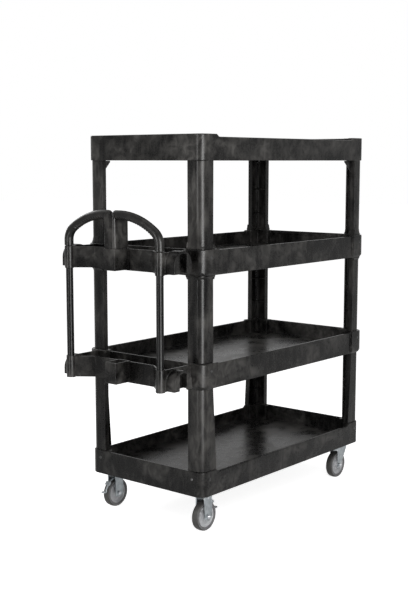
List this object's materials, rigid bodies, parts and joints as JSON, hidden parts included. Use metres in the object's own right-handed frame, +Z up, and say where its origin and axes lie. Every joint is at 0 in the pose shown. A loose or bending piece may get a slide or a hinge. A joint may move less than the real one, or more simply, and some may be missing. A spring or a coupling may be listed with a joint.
{
  "type": "rolling utility cart",
  "caption": "Black moulded utility cart: stacked lipped trays on corner posts, a tool caddy under an arched push handle, rigid braked casters and swivel casters.",
  "frame": {"origin": "on the floor, under the middle of the whole cart's bounding box", "axes": "+Z up; X along the rolling direction with the push handle at the low end; +Y to the left for someone pushing"},
  "size_m": [1.4214, 0.663, 1.646],
  "materials": {
    "tray_foam": "moulded structural foam with a mottled satin skin",
    "post_foam": "moulded structural foam with a mottled satin skin",
    "grip": "smooth satin",
    "pillar": "moulded, satin",
    "upright": "drawn tube in a satin black sleeve",
    "screw": "dark plated, semi-bright",
    "tyre": "grey non-marking tread, matt",
    "hub": "light grey moulded, satin",
    "ball_steel": "polished",
    "bright_steel": "zinc plated, bright",
    "zinc_steel": "zinc plated, pressed"
  },
  "bodies": {
    "cart": {"top_tray": "tray_foam", "upper_tray": "tray_foam", "lower_tray": "tray_foam", "bottom_tray": "tray_foam", "post_low_handle_left": "post_foam", "post_low_handle_right": "post_foam", "post_low_nose_left": "post_foam", "post_low_nose_right": "post_foam", "post_mid_handle_left": "post_foam", "post_mid_handle_right": "post_foam", "post_mid_nose_left": "post_foam", "post_mid_nose_right": "post_foam", "post_high_handle_left": "post_foam", "post_high_handle_right": "post_foam", "post_high_nose_left": "post_foam", "post_high_nose_right": "post_foam", "handle_pillar": "pillar", "handle_grip_left": "grip", "handle_grip_right": "grip", "handle_upright_left": "upright", "handle_upright_right": "upright", "screws_upper_tray": "screw", "screws_lower_tray": "screw", "screws_bottom_tray": "screw", "caster_bolts": "bright_steel", "rigid_fork_left": "zinc_steel", "rigid_fork_right": "zinc_steel", "swivel_plate_left": "zinc_steel", "swivel_plate_right": "zinc_steel", "kingpin_left": "bright_steel", "kingpin_right": "bright_steel", "swivel_balls_left": "ball_steel", "swivel_balls_right": "ball_steel", "axle_rigid_left": "bright_steel", "axle_rigid_right": "bright_steel", "nut_rigid_left": "bright_steel", "nut_rigid_right": "bright_steel", "sleeve_rigid_left": "bright_steel", "sleeve_rigid_right": "bright_steel", "brake_pins": "bright_steel"},
    "swivel_left": {"swivel_fork_left": "zinc_steel", "axle_swivel_left": "bright_steel", "nut_swivel_left": "bright_steel", "sleeve_swivel_left": "bright_steel"},
    "swivel_right": {"swivel_fork_right": "zinc_steel", "axle_swivel_right": "bright_steel", "nut_swivel_right": "bright_steel", "sleeve_swivel_right": "bright_steel"},
    "wheel_rigid_left": {"hub_rigid_left": "hub", "tyre_rigid_left": "tyre"},
    "wheel_rigid_right": {"hub_rigid_right": "hub", "tyre_rigid_right": "tyre"},
    "wheel_swivel_left": {"hub_swivel_left": "hub", "tyre_swivel_left": "tyre"},
    "wheel_swivel_right": {"hub_swivel_right": "hub", "tyre_swivel_right": "tyre"},
    "brake_left": {"brake_lever_left": "zinc_steel"},
    "brake_right": {"brake_lever_right": "zinc_steel"}
  },
  "joints": [
    {"name": "swivel_left_turn", "type": "hinge", "parent": "cart", "child": "swivel_left", "pos_m": [0.61925, 0.258, 0.15], "axis": [0, 0, 1], "continuous": true},
    {"name": "wheel_swivel_left_spin", "type": "hinge", "parent": "swivel_left", "child": "wheel_swivel_left", "pos_m": [0.58825, 0.258, 0.0635], "axis": [0, 1, 0], "continuous": true},
    {"name": "wheel_rigid_left_spin", "type": "hinge", "parent": "cart", "child": "wheel_rigid_left", "pos_m": [-0.42475, 0.258, 0.0635], "axis": [0, 1, 0], "continuous": true},
    {"name": "brake_left_press", "type": "hinge", "parent": "cart", "child": "brake_left", "pos_m": [-0.42475, 0.258, 0.1435], "axis": [0, -1, 0], "range_deg": [0, 2.2]},
    {"name": "swivel_right_turn", "type": "hinge", "parent": "cart", "child": "swivel_right", "pos_m": [0.61925, -0.258, 0.15], "axis": [0, 0, 1], "continuous": true},
    {"name": "wheel_swivel_right_spin", "type": "hinge", "parent": "swivel_right", "child": "wheel_swivel_right", "pos_m": [0.58825, -0.258, 0.0635], "axis": [0, 1, 0], "continuous": true},
    {"name": "wheel_rigid_right_spin", "type": "hinge", "parent": "cart", "child": "wheel_rigid_right", "pos_m": [-0.42475, -0.258, 0.0635], "axis": [0, 1, 0], "continuous": true},
    {"name": "brake_right_press", "type": "hinge", "parent": "cart", "child": "brake_right", "pos_m": [-0.42475, -0.258, 0.1435], "axis": [0, 1, 0], "range_deg": [0, 2.2]}
  ]
}
